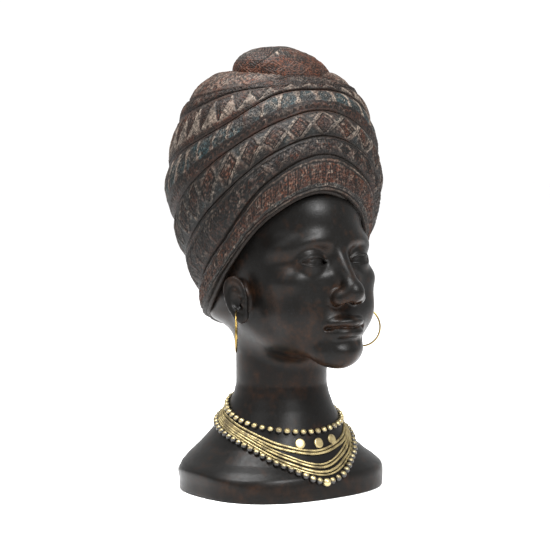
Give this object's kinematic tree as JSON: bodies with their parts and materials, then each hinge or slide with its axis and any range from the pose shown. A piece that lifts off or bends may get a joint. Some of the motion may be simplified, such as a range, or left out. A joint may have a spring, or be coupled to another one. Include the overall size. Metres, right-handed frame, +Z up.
{
  "type": "african woman figurine",
  "caption": "Cast resin bust of a woman in a wrapped, patterned turban, with moulded gold necklaces and brass hoop earrings, standing on a flat underside.",
  "frame": {"origin": "centre of the flat underside, below the neck's axis", "axes": "+Z up, the face looks along -Y, the subject's left is +X"},
  "size_m": [0.1453, 0.1642, 0.2982],
  "materials": {
    "dark_resin": "satin, near-black brown with rubbed red-brown patina",
    "turban_paint": "low-relief cloth pattern, dry-brushed in beige, rust and blue-grey",
    "gold_paint": "antique gold paint on the moulded beads and cords, dark in the recesses",
    "brass_wire": "polished"
  },
  "bodies": {
    "root": {"bust": "dark_resin", "earring_right": "brass_wire", "earring_left": "brass_wire"}
  },
  "joints": []
}
